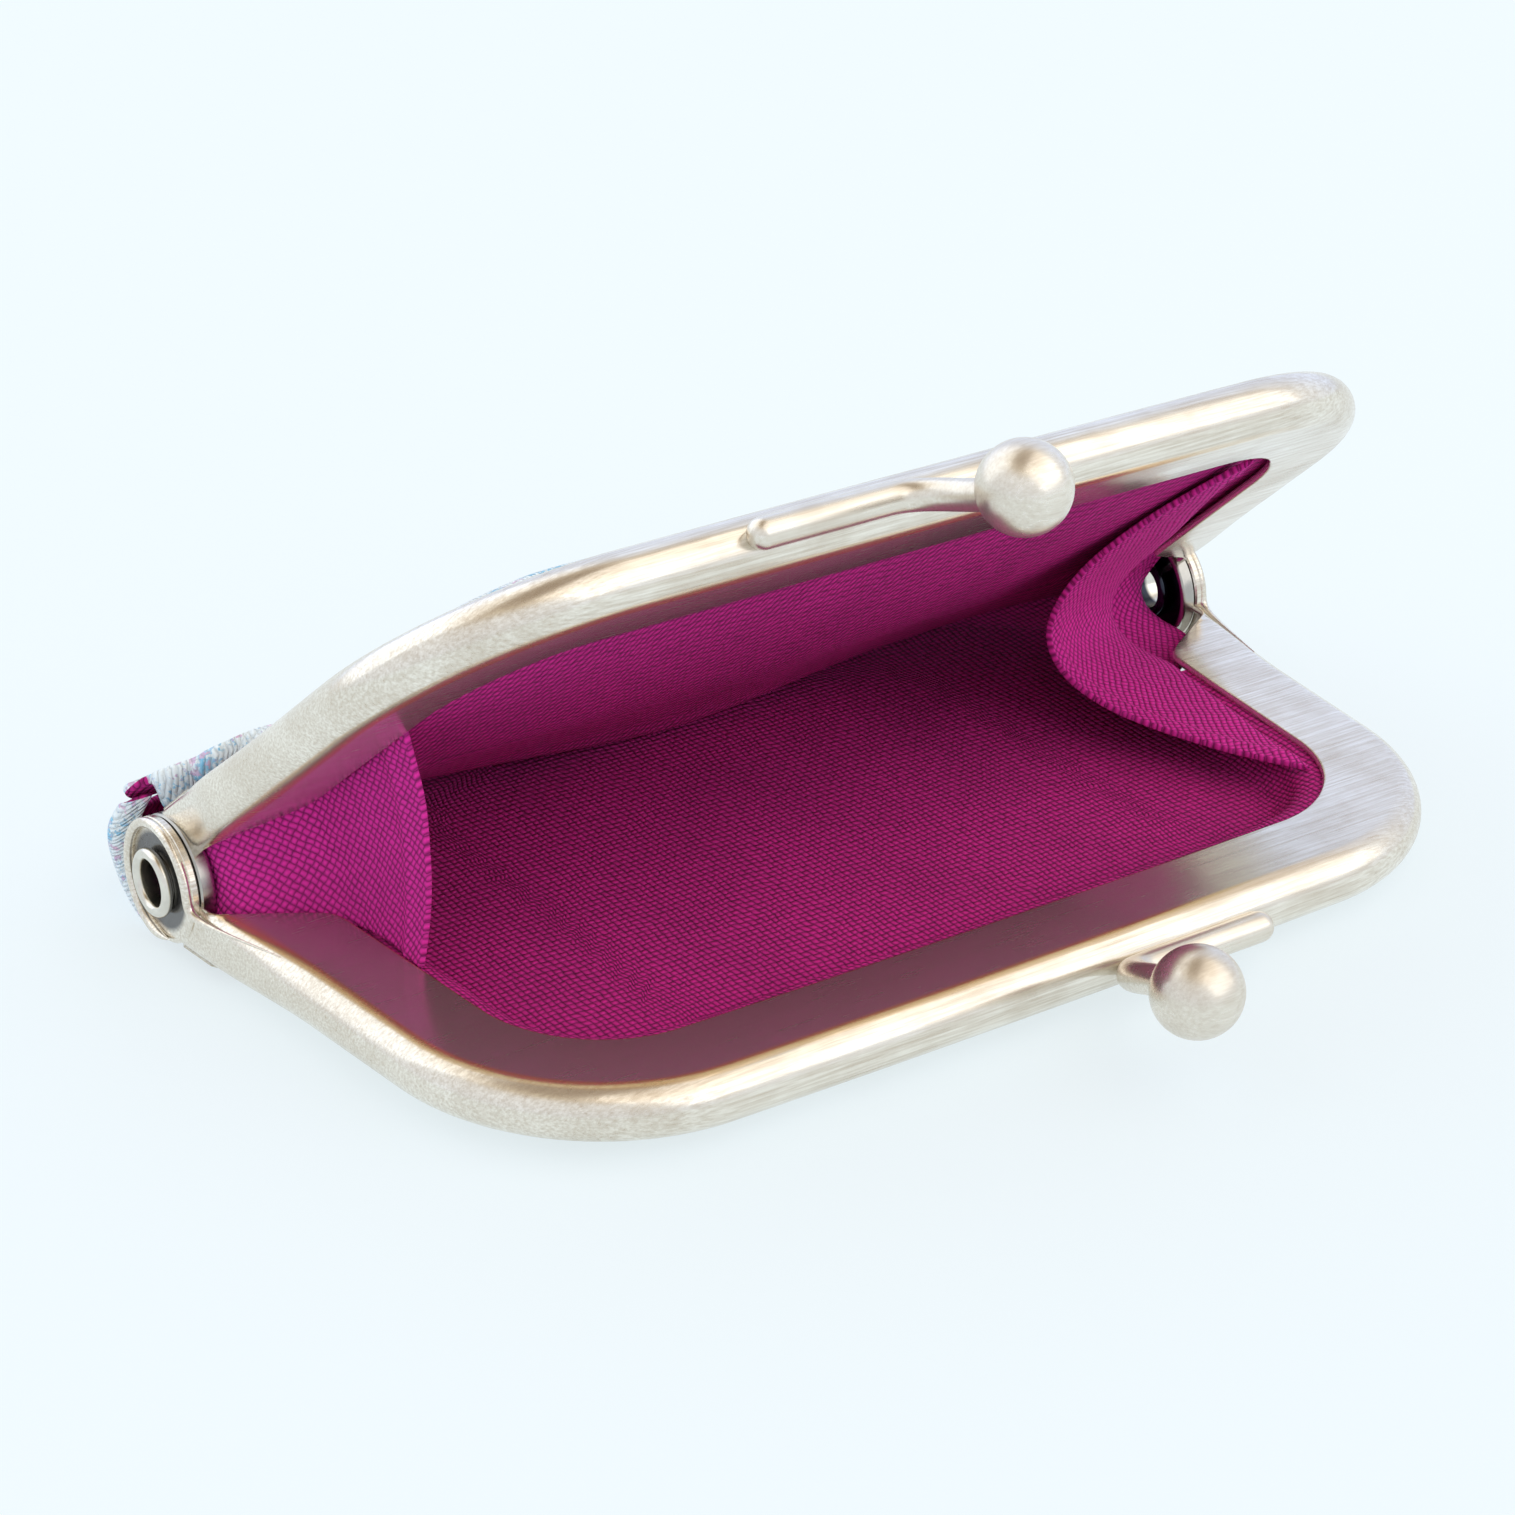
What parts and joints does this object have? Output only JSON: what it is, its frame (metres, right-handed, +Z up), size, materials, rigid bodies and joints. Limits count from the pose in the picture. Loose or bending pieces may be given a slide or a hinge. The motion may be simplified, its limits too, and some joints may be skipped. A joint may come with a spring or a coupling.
{
  "type": "clasp purse",
  "caption": "Small clasp purse lying open on its lower half: hinged brass channel frame, ball clasp on bent stems, brocade outside and magenta canvas lining.",
  "frame": {"origin": "on the bag's flat underside, straight below the middle of the hinge axis", "axes": "+X along the hinge axis, -Y towards the mouth, +Z up while the purse lies on its lower half"},
  "size_m": [0.0836, 0.0692, 0.0389],
  "materials": {
    "frame_brass": "polished, lightly aged",
    "rivet_brass": "polished",
    "brocade": "woven, matte",
    "interlining": "matte",
    "magenta_canvas": "woven, matte",
    "paper_cord": "matte"
  },
  "bodies": {
    "lower_half": {"lower_frame": "frame_brass", "left_rivet": "rivet_brass", "right_rivet": "rivet_brass", "lower_clasp_stem": "frame_brass", "lower_clasp_ball": "frame_brass", "lower_paper_cord": "paper_cord", "lower_outer_panel": "brocade", "lower_interlining": "interlining", "lower_lining": "magenta_canvas", "left_gusset": "magenta_canvas", "right_gusset": "magenta_canvas"},
    "upper_half": {"upper_frame": "frame_brass", "upper_clasp_stem": "frame_brass", "upper_clasp_ball": "frame_brass", "upper_paper_cord": "paper_cord", "upper_outer_panel": "brocade", "upper_interlining": "interlining", "upper_lining": "magenta_canvas"}
  },
  "joints": [
    {"name": "frame_hinge", "type": "hinge", "parent": "lower_half", "child": "upper_half", "pos_m": [0, 0, 0.0049], "axis": [-1, 0, 0], "range_deg": [-42.6, 47.4], "deforming": ["upper_outer_panel", "upper_interlining", "upper_lining", "left_gusset", "right_gusset"]}
  ]
}
